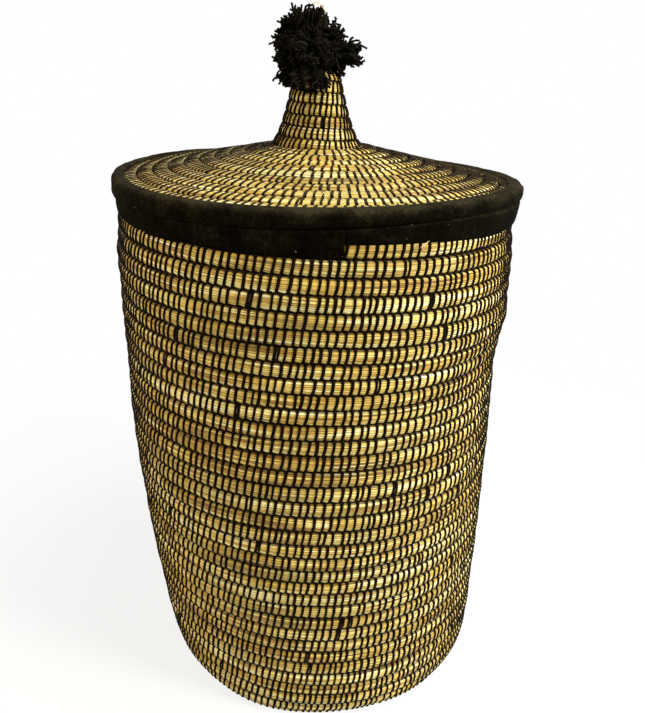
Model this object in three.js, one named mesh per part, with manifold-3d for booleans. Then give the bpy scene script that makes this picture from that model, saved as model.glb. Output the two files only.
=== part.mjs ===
// A lidded laundry basket of coiled grass, in millimetres, +Z up, standing on z = 0, its front towards -Y.
// A thick bundle of grass stalks is wound into the base and on up the wall, and another makes the lid.
import * as THREE from "three";
import { mergeVertices } from "three/addons/utils/BufferGeometryUtils.js";
import Module from "manifold-3d";

// The coil
const ROW = 15.35; // from one row of the thick coil to the next
const ROW_GAP = 0.6; // open groove between two rows
const TOUCH = 0.4; // between two pieces that touch
const COIL_STEPS = 18; // straight steps in one turn of the thick coil
const LEAST_END = 1.6; // thickness at which a tapering end of the coil stops
const STEP_ANGLE = 7.5; // degrees to the right of the front, where the black wrapping begins

// The body
const RIM_R = 198.5; // outside of the body's rim, which the other radii follow
const BASE_INSET = 22; // of the base's edge from the rim's outside
const BASE_DEPTH = 15;
const BASE_HOLE_R = 2.5;
const WALL_TURNS = 33.5;
const WALL_DEPTH = 14.5;
const WALL_BULGE = 2.6; // how far a row stands out from its grooves
const WALL_OUTLINE = [
  { up: 0, out: -15.5 },
  { up: 0.03, out: -11.5 },
  { up: 0.09, out: -8 },
  { up: 0.3, out: -1.2 },
  { up: 0.55, out: 2 },
  { up: 0.79, out: 3.5 },
  { up: 0.91, out: 4 },
  { up: 1, out: -0.5 },
]; // share of the wall's height, and how far the wall stands out past the rim there
const FOOT_SHIFT = 12; // the foot stands this far to the right of the rim
const BELLY_SHIFT = -4; // and the wall bows this far the other way on its way up

// The rims
const CLOTH = 1.2; // thickness of the black wrapping
const RIM_HEIGHT = 10.8;
const RIM_DEPTH = 16;
const RIM_CORNER = 2.8; // cut off each corner of its section
const LID_RIM_HEIGHT = 14.6;
const LID_RIM_DEPTH = 16.4;
const LID_RIM_CORNER = 4.5;
const LID_OVERHANG = 6.5; // of the lid's rim past the body's
const HOOP_STEPS = 36;

// The lid
const CROWN_ROW = 15.35; // from one row of the lid's coil to the next
const CROWN_DEPTH = 12.5;
const CROWN_BULGE = 2.2;
const CROWN_SLOPE = 10.6; // degrees
const CROWN_DROP = 1.6; // of the crown's outer edge below the top of the lid's rim
const LIP_DEPTH = 12;
const LIP_HEIGHT = 27;
const LIP_CLEARANCE = 4; // between the lip and the inside of the body's rim

// The finial, a small hollow tower of a thinner coil
const FINIAL_ROW = 11.2;
const FINIAL_DEPTH = 9;
const FINIAL_BULGE = 1.8;
const FINIAL_STEPS = 12;
const FINIAL_SHIFT = -1.4; // it stands a little left of the lid's middle
const FINIAL_HEIGHT = 68;
const FINIAL_FOOT_R = 44.5;
const FINIAL_TOP_R = 24;
const FINIAL_SHOULDER_R = 12;
const FINIAL_NECK_R = 28; // the two handles of its outline's curve, and how high they are
const FINIAL_NECK_UP = 42;
const FINIAL_FLARE_R = 34;
const FINIAL_FLARE_UP = 14;
const FINIAL_HOLE_R = 3.6;
const FINIAL_FIT = 0.1; // between the outlines of the finial's foot and the crown

// The pom-pom: four rough balls of yarn, from the middle of the finial's top
const POMPOM_R = 35; // of the main ball
const POMPOM_BALLS = [
  { x: -0.24, y: 0, z: 0.67, size: 1 },
  { x: 0.79, y: -0.06, z: 0.42, size: 0.46 },
  { x: -0.72, y: -0.11, z: -0.04, size: 0.42 },
  { x: -0.2, y: -0.45, z: 0.1, size: 0.5 },
]; // their places and sizes as shares of that radius
const POMPOM_DETAIL = 3;
const CORD_R = 1.6;
const CORD_IN_POMPOM = 14;
const KNOT_R = 6.5;

const straw = new THREE.MeshStandardMaterial({ color: 0xc9a561, roughness: 0.65, metalness: 0 });
const cloth = new THREE.MeshStandardMaterial({ color: 0x1b1a19, roughness: 0.9, metalness: 0 });
const yarn = new THREE.MeshStandardMaterial({ color: 0x100f0e, roughness: 1, metalness: 0 });

const basket = new THREE.Group();

function addPiece(name, geometry, material) {
  const mesh = new THREE.Mesh(geometry, material);
  mesh.name = name;
  basket.add(mesh);
}

// Coils

// A coil lies on an outline. surface(along) gives the outline's point and outward direction in the
// (r, z) plane, along growing by one row in each turn. low and high are the ends of the outline: the
// first row grows out of the low end, and the last one tapers off against the high end. Each section
// stays half a groove back from the lines square to the outline that part its row from the next.
function coilSection(coil, turn) {
  const start = Math.max(coil.low, coil.low + coil.row * (turn - 1));
  const end = Math.min(coil.high, coil.low + coil.row * turn);
  const bulge = (coil.bulge * (end - start)) / coil.row;
  const angle = THREE.MathUtils.degToRad(coil.startAngle) + coil.direction * 2 * Math.PI * turn;
  const corner = (along, inset, forward) => {
    const { r, z, outR, outZ, shift } = coil.surface(along);
    const radius = r - outR * inset + coil.direction * outZ * forward;
    const height = z - outZ * inset - coil.direction * outR * forward;
    return new THREE.Vector3(shift + radius * Math.cos(angle), radius * Math.sin(angle), height);
  };
  const half = ROW_GAP / 2;
  const ridge = coil.bulge > 0 ? [corner((start + end) / 2, 0, 0)] : [];
  const outside = [corner(start, bulge, half), ...ridge, corner(end, bulge, -half)];
  return [...outside, corner(end, coil.depth, -half), corner(start, coil.depth, half)];
}

// The turns at which a coil's tapering ends reach their least thickness, moved on to a whole step.
function coilEnds(coil) {
  const least = LEAST_END + ROW_GAP;
  const first = Math.ceil((least / coil.row) * coil.steps);
  const last = Math.floor(((coil.high - coil.low - least) / coil.row + 1) * coil.steps);
  return { from: first / coil.steps, to: last / coil.steps };
}

// Sections at whole steps, and at the two ends wherever they are.
function coilSections(coil, from, to) {
  const turns = [from];
  const near = 0.01;
  for (let step = Math.ceil(from * coil.steps + near); step < to * coil.steps - near; step++) {
    turns.push(step / coil.steps);
  }
  turns.push(to);
  return turns.map((turn) => coilSection(coil, turn));
}

// One closed tube through the sections, with a flat cut at both ends.
function tube(sections) {
  const sides = sections[0].length;
  const faces = [];
  for (let ring = 0; ring < sections.length - 1; ring++) {
    for (let side = 0; side < sides; side++) {
      const here = ring * sides + side;
      const beside = ring * sides + ((side + 1) % sides);
      faces.push([here, beside, beside + sides], [here, beside + sides, here + sides]);
    }
  }
  const last = (sections.length - 1) * sides;
  for (let side = 1; side < sides - 1; side++) {
    faces.push([0, side + 1, side], [last, last + side, last + side + 1]);
  }
  const geometry = new THREE.BufferGeometry();
  geometry.setFromPoints(sections.flat());
  geometry.setIndex(faces.flat());
  geometry.computeVertexNormals();
  return geometry;
}

// The least distance between one turn of a coil and the next.
function leastGap(sections, steps) {
  const edge = new THREE.Line3();
  const nearest = new THREE.Vector3();
  let least = Infinity;
  const compare = (points, outline) => {
    outline.forEach((corner, index) => {
      edge.set(corner, outline[(index + 1) % outline.length]);
      for (const point of points) {
        edge.closestPointToPoint(point, true, nearest);
        least = Math.min(least, nearest.distanceTo(point));
      }
    });
  };
  for (let index = 0; index + steps < sections.length; index++) {
    compare(sections[index], sections[index + steps]);
    compare(sections[index + steps], sections[index]);
  }
  return least;
}

function addCoil(name, coil, from, to) {
  const sections = coilSections(coil, from, to);
  const gap = leastGap(sections, coil.steps).toFixed(2);
  console.log(`${name}: ${(to - from).toFixed(2)} turns, least gap to itself ${gap} mm`);
  addPiece(name, tube(sections), straw);
}

// Body

// Going up the wall the coil turns clockwise, seen from above, so it rises to the left at the front,
// and its last natural turn ends at the step.
const startAngle = STEP_ANGLE - 90 + 360 * WALL_TURNS;
const bodyTurn = { startAngle, direction: -1, steps: COIL_STEPS, row: ROW };

const baseCoil = {
  ...bodyTurn,
  low: BASE_HOLE_R,
  high: RIM_R - BASE_INSET,
  depth: BASE_DEPTH,
  bulge: 0,
  surface: (along) => ({ r: along, z: 0, outR: 0, outZ: -1, shift: FOOT_SHIFT }),
};
const baseEnds = coilEnds(baseCoil);
addCoil("base_coil", baseCoil, baseEnds.from, baseEnds.to);

const wallBottom = BASE_DEPTH + TOUCH;
const wallTop = wallBottom + WALL_TURNS * ROW;
const wallPoints = WALL_OUTLINE.map(({ up, out }) => new THREE.Vector2(RIM_R + out, up));
const wallCurve = new THREE.SplineCurve(wallPoints);

function wallSurface(height) {
  const up = (height - wallBottom) / (wallTop - wallBottom);
  const above = Math.max(1, WALL_OUTLINE.findIndex((knot) => knot.up >= up));
  const below = WALL_OUTLINE[above - 1].up;
  const share = (up - below) / (WALL_OUTLINE[above].up - below);
  const r = wallCurve.getPoint((above - 1 + share) / (WALL_OUTLINE.length - 1)).x;
  const shift = FOOT_SHIFT * (1 - up) ** 2 + BELLY_SHIFT * Math.sin(Math.PI * up);
  return { r, z: height, outR: 1, outZ: 0, shift };
}

const wallCoil = {
  ...bodyTurn,
  low: wallBottom,
  high: wallTop,
  depth: WALL_DEPTH,
  bulge: WALL_BULGE,
  surface: wallSurface,
};
const wallEnds = coilEnds(wallCoil);
addCoil("wall_coil", wallCoil, wallEnds.from, WALL_TURNS);

// The coil's last turn, wrapped in black from the step on, tapers off under the rim.
const wrapGap = TOUCH / (2 * Math.PI * RIM_R);
addPiece("rim_tail", tube(coilSections(wallCoil, WALL_TURNS + wrapGap, wallEnds.to)), cloth);

// The section of a rim with cut corners, drawn in by inset, from its lower inner corner and up round
// the outside.
function rimSection({ outerR, innerR, bottom, top, corner }, inset) {
  const cut = corner + inset * (Math.SQRT2 - 1);
  const [left, right] = [innerR + inset, outerR - inset];
  const [low, high] = [bottom + inset, top - inset];
  const [innerCut, outerCut] = [innerR + cut, outerR - cut];
  const [lowCut, highCut] = [bottom + cut, top - cut];
  return [
    [left, lowCut],
    [innerCut, low],
    [outerCut, low],
    [right, lowCut],
    [right, highCut],
    [outerCut, high],
    [innerCut, high],
    [left, highCut],
  ].map(([r, z]) => new THREE.Vector2(r, z));
}

function hoop(section) {
  const lathe = new THREE.LatheGeometry([...section, section[0]], HOOP_STEPS);
  return lathe.rotateX(Math.PI / 2);
}

// A hoop of grass and the black cloth round it, left open between one corner of its section and the next.
function addRim(name, rim, openAfter) {
  const outer = rimSection(rim, 0);
  const inner = rimSection(rim, CLOTH);
  const around = [...outer.slice(openAfter + 1), ...outer.slice(0, openAfter + 1)];
  const back = [...inner.slice(openAfter + 1), ...inner.slice(0, openAfter + 1)].reverse();
  addPiece(`${name}_core`, hoop(rimSection(rim, CLOTH + TOUCH)), straw);
  addPiece(`${name}_wrap`, hoop([...around, ...back]), cloth);
}

const UNDERSIDE = 1;
const INNER_SIDE = 7;
const rimBottom = wallTop + TOUCH;
const rimTop = rimBottom + RIM_HEIGHT;
const rim = { outerR: RIM_R, innerR: RIM_R - RIM_DEPTH, bottom: rimBottom, top: rimTop, corner: RIM_CORNER };
addRim("rim", rim, UNDERSIDE);

// Lid

const lidBottom = rimTop + TOUCH;
const lidTop = lidBottom + LID_RIM_HEIGHT;
const lidR = RIM_R + LID_OVERHANG;
const lidRim = {
  outerR: lidR,
  innerR: lidR - LID_RIM_DEPTH,
  bottom: lidBottom,
  top: lidTop,
  corner: LID_RIM_CORNER,
};
addRim("lid_rim", lidRim, INNER_SIDE);

// The lid's coil starts at the top of the finial and turns the same way as it goes down.
const lidTurn = { startAngle: STEP_ANGLE - 90, direction: 1 };
const slope = THREE.MathUtils.degToRad(CROWN_SLOPE);
const crownInnerR = FINIAL_FOOT_R + FINIAL_FIT;
const crownOuterR = lidRim.innerR - TOUCH;
const crownLength = (crownOuterR - crownInnerR) / Math.cos(slope);
const crownTop = lidTop - CROWN_DROP + crownLength * Math.sin(slope);

const crownCoil = {
  ...lidTurn,
  steps: COIL_STEPS,
  row: CROWN_ROW,
  low: 0,
  high: crownLength,
  depth: CROWN_DEPTH,
  bulge: CROWN_BULGE,
  surface: (along) => ({
    r: crownInnerR + along * Math.cos(slope),
    z: crownTop - along * Math.sin(slope),
    outR: Math.sin(slope),
    outZ: Math.cos(slope),
    shift: FINIAL_SHIFT * (1 - along / crownLength),
  }),
};
const crownEnds = coilEnds(crownCoil);
addCoil("crown_coil", crownCoil, crownEnds.from, crownEnds.to);

// The lip hangs below the crown and keeps the lid on the body.
const lipOuterR = rim.innerR - LIP_CLEARANCE;
const crownUnderLip = crownTop - (lipOuterR - crownInnerR) * Math.tan(slope) - CROWN_DEPTH / Math.cos(slope);
const lipTop = crownUnderLip - TOUCH;
const lipCoil = {
  ...lidTurn,
  direction: -lidTurn.direction,
  steps: COIL_STEPS,
  row: ROW,
  low: lipTop - LIP_HEIGHT,
  high: lipTop,
  depth: LIP_DEPTH,
  bulge: WALL_BULGE,
  surface: (height) => ({ r: lipOuterR, z: height, outR: 1, outZ: 0, shift: 0 }),
};
const lipEnds = coilEnds(lipCoil);
addCoil("lip_coil", lipCoil, lipEnds.from, lipEnds.to);

// The finial's outline runs from the middle of its top over a round shoulder and down to its foot.
const shoulderR = FINIAL_TOP_R - FINIAL_SHOULDER_R;
const shoulderZ = FINIAL_HEIGHT - FINIAL_SHOULDER_R;
const finialOutline = new THREE.Path();
finialOutline.moveTo(0, FINIAL_HEIGHT);
finialOutline.lineTo(shoulderR, FINIAL_HEIGHT);
finialOutline.absarc(shoulderR, shoulderZ, FINIAL_SHOULDER_R, Math.PI / 2, 0, true);
finialOutline.bezierCurveTo(
  FINIAL_NECK_R, FINIAL_NECK_UP, FINIAL_FLARE_R, FINIAL_FLARE_UP, FINIAL_FOOT_R, 0,
);
const finialLength = finialOutline.getLength();
const finialFoot = crownTop;

const finialCoil = {
  ...lidTurn,
  steps: FINIAL_STEPS,
  row: FINIAL_ROW,
  low: FINIAL_HOLE_R,
  high: finialLength,
  depth: FINIAL_DEPTH,
  bulge: FINIAL_BULGE,
  surface: (along) => {
    const point = finialOutline.getPointAt(along / finialLength);
    const forward = finialOutline.getTangentAt(along / finialLength);
    return { r: point.x, z: finialFoot + point.y, outR: -forward.y, outZ: forward.x, shift: FINIAL_SHIFT };
  },
};
const finialEnds = coilEnds(finialCoil);
addCoil("finial_coil", finialCoil, finialEnds.from, finialEnds.to);

// The pom-pom's cord goes through the hole in the finial's top and ends in a knot inside it.
const finialTop = finialFoot + FINIAL_HEIGHT;
const knotZ = finialTop - FINIAL_DEPTH - TOUCH - KNOT_R;
const cordTop = finialTop + CORD_IN_POMPOM;
const knotCut = Math.acos(CORD_R / KNOT_R);
const tieOutline = new THREE.Path();
tieOutline.absarc(0, knotZ, KNOT_R, -Math.PI / 2, knotCut, false);
tieOutline.lineTo(CORD_R, cordTop);
tieOutline.lineTo(0, cordTop);
const tie = new THREE.LatheGeometry(tieOutline.getPoints(6), FINIAL_STEPS).rotateX(Math.PI / 2);
addPiece("pompom_tie", tie.translate(FINIAL_SHIFT, 0, 0), yarn);

// Pom-pom

const wasm = await Module();
wasm.setup();

function toManifold(geometry) {
  geometry.deleteAttribute("normal");
  geometry.deleteAttribute("uv");
  const merged = mergeVertices(geometry);
  const vertProperties = new Float32Array(merged.attributes.position.array);
  const triVerts = new Uint32Array(merged.index.array);
  return new wasm.Manifold(new wasm.Mesh({ numProp: 3, vertProperties, triVerts }));
}

function toGeometry(solid) {
  const mesh = solid.getMesh();
  const geometry = new THREE.BufferGeometry();
  geometry.setAttribute("position", new THREE.BufferAttribute(mesh.vertProperties, 3));
  geometry.setIndex(new THREE.BufferAttribute(mesh.triVerts, 1));
  geometry.computeVertexNormals();
  return geometry;
}

const balls = POMPOM_BALLS.map(({ x, y, z, size }) => {
  const ball = new THREE.IcosahedronGeometry(POMPOM_R * size, POMPOM_DETAIL);
  return toManifold(ball.translate(FINIAL_SHIFT + POMPOM_R * x, POMPOM_R * y, finialTop + POMPOM_R * z));
});

// The bunch sits over the finial's top and round the cord, so their outlines are cut out of it.
const finialRoomOutline = finialOutline.getPoints(8).map(({ x, y }) => {
  return new THREE.Vector2(x > 0 ? x + TOUCH : 0, finialFoot + y + TOUCH);
});
const finialRoomFoot = new THREE.Vector2(0, finialFoot + TOUCH);
const finialRoom = new THREE.LatheGeometry([finialRoomFoot, ...finialRoomOutline.reverse()], HOOP_STEPS);
const cordRoomHeight = CORD_IN_POMPOM + 2 * TOUCH;
const cordRoom = new THREE.CylinderGeometry(CORD_R + TOUCH, CORD_R + TOUCH, cordRoomHeight, FINIAL_STEPS);
cordRoom.translate(0, finialTop + CORD_IN_POMPOM / 2, 0);
const rooms = [finialRoom, cordRoom].map((room) => {
  return toManifold(room.rotateX(Math.PI / 2).translate(FINIAL_SHIFT, 0, 0));
});
const pompom = wasm.Manifold.union(balls).subtract(wasm.Manifold.union(rooms));
addPiece("pompom", toGeometry(pompom), yarn);

export default basket;
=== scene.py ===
"""A lidded laundry basket of coiled grass, sewn in black and bound with black cloth, in a plain studio."""
import math

import bmesh
import bpy
import numpy as np
from mathutils import Matrix, Vector, noise


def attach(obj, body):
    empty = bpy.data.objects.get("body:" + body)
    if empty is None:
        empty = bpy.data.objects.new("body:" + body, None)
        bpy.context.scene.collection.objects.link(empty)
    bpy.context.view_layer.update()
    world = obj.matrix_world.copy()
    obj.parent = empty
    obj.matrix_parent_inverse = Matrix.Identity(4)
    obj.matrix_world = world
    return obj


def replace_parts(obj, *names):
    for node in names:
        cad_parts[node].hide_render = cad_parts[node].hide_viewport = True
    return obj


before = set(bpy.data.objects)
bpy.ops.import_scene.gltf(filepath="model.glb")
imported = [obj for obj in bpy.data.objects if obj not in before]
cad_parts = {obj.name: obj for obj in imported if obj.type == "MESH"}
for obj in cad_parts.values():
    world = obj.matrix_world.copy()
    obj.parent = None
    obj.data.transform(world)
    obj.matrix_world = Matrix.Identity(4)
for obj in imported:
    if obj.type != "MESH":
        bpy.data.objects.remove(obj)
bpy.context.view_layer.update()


# Base
# A bundle of dry grass stalks wound into a flat disc from its middle. Black strips of palm leaf sew each
# row to the one before it, and squeeze the bundle wherever they cross it.

ROW = 0.01535
ROW_PRESS = 0.0006
STEP_ANGLE = 7.5
WALL_TURNS = 33.5
STITCH_SPACING = 0.0072
LEAST_STITCHES = 14
DOUBLE_STITCHES = 0.012
DOUBLE_SPACING = 0.4
STALKS_ROUND = 15
SQUEEZE = 0.10
CORNERS = 12
STITCH_WIDTH = 0.0026
STITCH_HEIGHT = 0.00075
STITCH_LEAN = math.radians(-11)
STITCH_FLARE = 0.8
STITCH_BEND = 0.0007
STITCH_LEAN_SPREAD = 0.06
STITCH_WIDTHS = (0.82, 1.22)
STITCH_SPACING_MEAN = 1.02
STITCH_SPACING_SPREAD = 0.13
STALK_EDGE = 0.3
GROOVE_FROM = 0.84
GROOVE_WIDTH = 0.2
UNEVEN_ROUND = 2.2
UNEVEN_PER_TURN = 1.7
LEAST_SPAN = 1e-5
FIRST_STITCH = 0.15
RUN_OUT = 0.8
VECTOR = "FLOAT_VECTOR"

GOLD_TONES = [
    (0.00, (0.13, 0.060, 0.010)),
    (0.22, (0.31, 0.175, 0.026)),
    (0.45, (0.52, 0.345, 0.058)),
    (0.65, (0.68, 0.51, 0.125)),
    (0.85, (0.82, 0.71, 0.28)),
    (1.00, (0.92, 0.86, 0.48)),
]
# A dull green, for the grass's own green patches and for the painted shade on the lower side of each row.
GREEN_TONE = (0.34, 0.30, 0.10)
# Nearly black in the grooves between rows: painted shade, and the dark sewing strips that run there.
GROOVE_SHADE_AND_STRIP_TONE = (0.012, 0.005, 0.0015)
LINE_TONE = (0.07, 0.027, 0.004)
PALM_BLACK = [
    (0.3, (0.0005, 0.0002, 0.0001)),
    (0.65, (0.003, 0.0013, 0.0005)),
    (0.8, (0.012, 0.006, 0.0018)),
]
# Partly dust, partly a painted sheen, for strips that face up.
PALM_DUST_AND_SHEEN = (0.050, 0.034, 0.012)
SHEEN = (1.0, 0.9, 0.6, 1)
DARK_SHEEN = (1.0, 0.74, 0.4, 1)


class Value:
    """A number or vector that runs through a node tree."""

    def __init__(self, tree, socket):
        self.tree = tree
        self.socket = socket

    def math(self, operation, *others):
        inputs = {0: self, **dict(enumerate(others, 1))}
        return Nodes(self.tree).node("ShaderNodeMath", {"operation": operation}, inputs)[0]

    def clamped(self):
        return self.math("MAXIMUM", 0).math("MINIMUM", 1)

    def vector_math(self, operation, other=(0, 0, 0)):
        inputs = {0: self, "Scale" if operation == "SCALE" else 1: other}
        return Nodes(self.tree).node("ShaderNodeVectorMath", {"operation": operation}, inputs)[0]

    def plus(self, other):
        return self.vector_math("ADD", other)

    def minus(self, other):
        return self.vector_math("SUBTRACT", other)

    def scaled(self, other):
        return self.vector_math("SCALE", other)

    def __add__(self, other):
        return self.math("ADD", other)

    def __sub__(self, other):
        return self.math("SUBTRACT", other)

    def __rsub__(self, other):
        return self * -1 + other

    def __mul__(self, other):
        return self.math("MULTIPLY", other)

    def __truediv__(self, other):
        return self.math("DIVIDE", other)

    __radd__ = __add__
    __rmul__ = __mul__


class Nodes:
    """Adds nodes to one tree."""

    def __init__(self, tree):
        self.tree = tree

    def node(self, kind, settings, inputs):
        made = self.tree.nodes.new(kind)
        for name, value in settings.items():
            if name == "stops":
                elements = made.color_ramp.elements
                while len(elements) < len(value):
                    elements.new(0.5)
                for element, (place, colour) in zip(elements, value):
                    element.position = place
                    element.color = (*colour, 1)
            else:
                setattr(made, name, value)
        for name, value in inputs.items():
            if isinstance(name, int):
                socket = made.inputs[name]
            else:
                socket = next(s for s in made.inputs if s.name == name and s.enabled)
            if isinstance(value, Value):
                self.tree.links.new(value.socket, socket)
            else:
                socket.default_value = value
        return [Value(self.tree, output) for output in made.outputs if output.enabled]

    def vector(self, x, y, z):
        return self.node("ShaderNodeCombineXYZ", {}, {0: x, 1: y, 2: z})[0]

    def split(self, vector):
        return self.node("ShaderNodeSeparateXYZ", {}, {0: vector})

    def place(self):
        """The place of a point in its object's own coordinates."""
        return self.node("ShaderNodeTexCoord", {}, {})[3]

    def upward(self):
        """How far a surface faces up, from -1 to 1."""
        return self.split(self.node("ShaderNodeTexCoord", {}, {})[1])[2]

    def blend(self, amount, first, second):
        settings = {"data_type": "RGBA"}
        return self.node("ShaderNodeMix", settings, {"Factor": amount, "A": first, "B": second})[0]

    def noise(self, place, scale, detail=2):
        inputs = {"Vector": place, "Scale": scale, "Detail": detail}
        return self.node("ShaderNodeTexNoise", {}, inputs)[0]

    def ramp(self, stops, amount):
        return self.node("ShaderNodeValToRGB", {"stops": stops}, {"Fac": amount})[0]

    def bump(self, strength, distance, height):
        inputs = {"Strength": strength, "Distance": distance, "Height": height}
        return self.node("ShaderNodeBump", {}, inputs)[0]

    def read(self, name, kind="FLOAT"):
        return self.node("GeometryNodeInputNamedAttribute", {"data_type": kind}, {"Name": name})[0]

    def store(self, geometry, name, value, kind="FLOAT"):
        settings = {"data_type": kind, "domain": "POINT"}
        inputs = {"Geometry": geometry, "Name": name, "Value": value}
        return self.node("GeometryNodeStoreNamedAttribute", settings, inputs)[0]

    def position(self):
        return self.node("GeometryNodeInputPosition", {}, {})[0]

    def move(self, geometry, place):
        return self.node("GeometryNodeSetPosition", {}, {"Geometry": geometry, "Position": place})[0]

    def chance(self, low, high, seed):
        inputs = {"Min": low, "Max": high, "Seed": seed}
        return self.node("FunctionNodeRandomValue", {"data_type": "FLOAT"}, inputs)[0]

    def ring(self, corners, radius=1.0):
        inputs = {"Resolution": corners, "Radius": radius}
        return self.node("GeometryNodeCurvePrimitiveCircle", {"mode": "RADIUS"}, inputs)[0]

    def sweep(self, line, ring):
        inputs = {"Curve": line, "Profile Curve": ring, "Fill Caps": True}
        return self.node("GeometryNodeCurveToMesh", {}, inputs)[0]


def new_material(name):
    made = bpy.data.materials.new(name)
    made.use_nodes = True
    made.node_tree.nodes.clear()
    return made, Nodes(made.node_tree)


def finish_material(nodes, inputs):
    shader = nodes.node("ShaderNodeBsdfPrincipled", {}, inputs)[0]
    nodes.node("ShaderNodeOutputMaterial", {}, {"Surface": shader})


def make_grass():
    made, nodes = new_material("golden_grass")
    grain = nodes.node("ShaderNodeAttribute", {"attribute_name": "grain"}, {})[1]
    crest = nodes.node("ShaderNodeAttribute", {"attribute_name": "crest"}, {})[2]
    along, around, turn = nodes.split(grain)
    wander = nodes.noise(nodes.vector(along * 6, around * 5, turn * 2), 1)
    place = around * STALKS_ROUND + wander * 2.4
    stalk = place.math("FLOOR")
    within = place - stalk
    to_edge = within.math("MINIMUM", 1 - within)
    tone = nodes.noise(nodes.vector(along * 13, stalk * 3.7, turn * 3), 1, 1)
    row_tone = nodes.noise(nodes.vector(turn * 2.3, along * 1.2, 4.2), 1, 1)
    fibre = nodes.noise(nodes.vector(along * 25, around * 90, turn), 1, 2)
    mixed = (tone - 0.5) * 2.2 + (row_tone - 0.5) * 0.8 + (fibre - 0.5) * 1.1 + 0.55
    gold = nodes.ramp(GOLD_TONES, mixed)
    patches = nodes.noise(nodes.vector(along * 5, turn * 3, 9), 1, 1)
    # Painted shade: the lower side of each row is tinted dull green and darker, as in its own shadow. The
    # green patches beside it are the grass's own colour.
    low_side_shade = ((around * -1 - 0.04) * 7).clamped()
    green_patches_and_low_shade = ((patches - 0.45) * 3).clamped() * 0.45 + low_side_shade * 0.3
    tinted = nodes.blend(green_patches_and_low_shade, gold, (*GREEN_TONE, 1))
    line_strength = nodes.noise(nodes.vector(along * 20, stalk * 5.3, turn * 2), 1, 1)
    lines = (1 - to_edge / STALK_EDGE).clamped() * ((line_strength - 0.3) * 5).clamped()
    lined = nodes.blend(lines, tinted, (*LINE_TONE, 1))
    # Painted shade with the sewing strips: the grass is coloured nearly black in the grooves between rows,
    # where shade falls and the strips run behind.
    groove_shade_and_strips = ((GROOVE_FROM - crest.math("ABSOLUTE")) / GROOVE_WIDTH).clamped()
    colour = nodes.blend(groove_shade_and_strips * 0.96, lined, (*GROOVE_SHADE_AND_STRIP_TONE, 1))
    height = to_edge.math("MINIMUM", STALK_EDGE) + fibre * 0.25
    finish_material(nodes, {
        "Base Color": colour,
        "Roughness": 0.38 + tone * 0.25,
        "Specular IOR Level": 0.35,
        "Specular Tint": SHEEN,
        "Normal": nodes.bump(0.6, 0.0012, height),
    })
    return made


def make_palm():
    made, nodes = new_material("black_palm_strip")
    place = nodes.place()
    patches = nodes.noise(place, 260)
    fibres = nodes.noise(place, 1400)
    black = nodes.ramp(PALM_BLACK, patches * 0.7 + fibres * 0.3)
    # Lighter and browner where the strips face up: partly dust, partly a painted sheen of the light from
    # above.
    dust_and_sheen = ((nodes.upward() - 0.75) * 5).clamped() * (0.35 + fibres * 0.7)
    finish_material(nodes, {
        "Base Color": nodes.blend(dust_and_sheen, black, (*PALM_DUST_AND_SHEEN, 1)),
        "Roughness": 0.5 + patches * 0.3,
        "Specular IOR Level": 0.05,
        "Specular Tint": DARK_SHEEN,
        "Normal": nodes.bump(0.3, 0.0004, fibres),
    })
    return made


grass = make_grass()
palm = make_palm()


def new_tree(name, kinds):
    """A Geometry Nodes tree with inputs named by kind, and a material. Gives its nodes and input values."""
    tree = bpy.data.node_groups.new(name, "GeometryNodeTree")
    names = []
    for kind, labels in {"Geometry": ("Geometry",), **kinds, "Material": ("Material",)}.items():
        for label in labels:
            tree.interface.new_socket(label, in_out="INPUT", socket_type=f"NodeSocket{kind}")
            names.append(label)
    tree.interface.new_socket("Geometry", in_out="OUTPUT", socket_type="NodeSocketGeometry")
    nodes = Nodes(tree)
    return nodes, dict(zip(names, nodes.node("NodeGroupInput", {}, {})))


def end_tree(nodes, geometry, material):
    smooth = nodes.node("GeometryNodeSetShadeSmooth", {}, {"Geometry": geometry})[0]
    covered = nodes.node("GeometryNodeSetMaterial", {}, {"Geometry": smooth, "Material": material})[0]
    nodes.node("NodeGroupOutput", {}, {0: covered})
    return nodes.tree


def bundle_outline(angle, softness):
    """The outline of a pressed bundle: how far to its side and how far outwards, from -1 to 1.
    Softness 1 is a round one, and 0 a square one."""
    places = []
    for wave in ("COSINE", "SINE"):
        value = angle.math(wave)
        places.append(value.math("ABSOLUTE").math("POWER", softness) * value.math("SIGN"))
    return places


def make_bundle_tree():
    nodes, given = new_tree("grass_bundle", {
        "Float": ("Depth", "Softness", "Squeeze"),
        "Int": ("Between stitches", "Corners"),
    })
    line = nodes.node("GeometryNodeMeshToCurve", {}, {"Mesh": given["Geometry"]})[0]
    cuts = {"Curve": line, "Cuts": given["Between stitches"]}
    line = nodes.node("GeometryNodeSubdivideCurve", {}, cuts)[0]
    index = nodes.node("GeometryNodeInputIndex", {}, {})[0]
    share = index / (given["Between stitches"] + 1)
    line = nodes.store(line, "swell", (share * math.pi).math("SINE").math("ABSOLUTE"))
    line = nodes.store(line, "path", nodes.position(), VECTOR)
    ring = nodes.ring(given["Corners"])
    to_side, outwards = bundle_outline(index / given["Corners"] * 2 * math.pi, given["Softness"])
    around = 0.25 - outwards.math("SIGN") * (0.25 - to_side * 0.25)
    ring = nodes.store(ring, "to_side", to_side)
    ring = nodes.store(ring, "crest", outwards)
    ring = nodes.store(ring, "around", around)
    body = nodes.sweep(line, ring)
    tight = 1 - given["Squeeze"] * (1 - nodes.read("swell"))
    half = given["Depth"] * 0.5
    side_reach = nodes.read("to_side") * nodes.read("span") * 0.5 * tight
    out_reach = nodes.read("crest") * half * tight - half
    sideways = nodes.read("across", VECTOR).scaled(side_reach)
    outward = nodes.read("out", VECTOR).scaled(out_reach)
    body = nodes.move(body, nodes.read("path", VECTOR).plus(sideways).plus(outward))
    grain = nodes.vector(nodes.read("along"), nodes.read("around"), nodes.read("turn"))
    body = nodes.store(body, "grain", grain, VECTOR)
    return end_tree(nodes, body, given["Material"])


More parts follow.
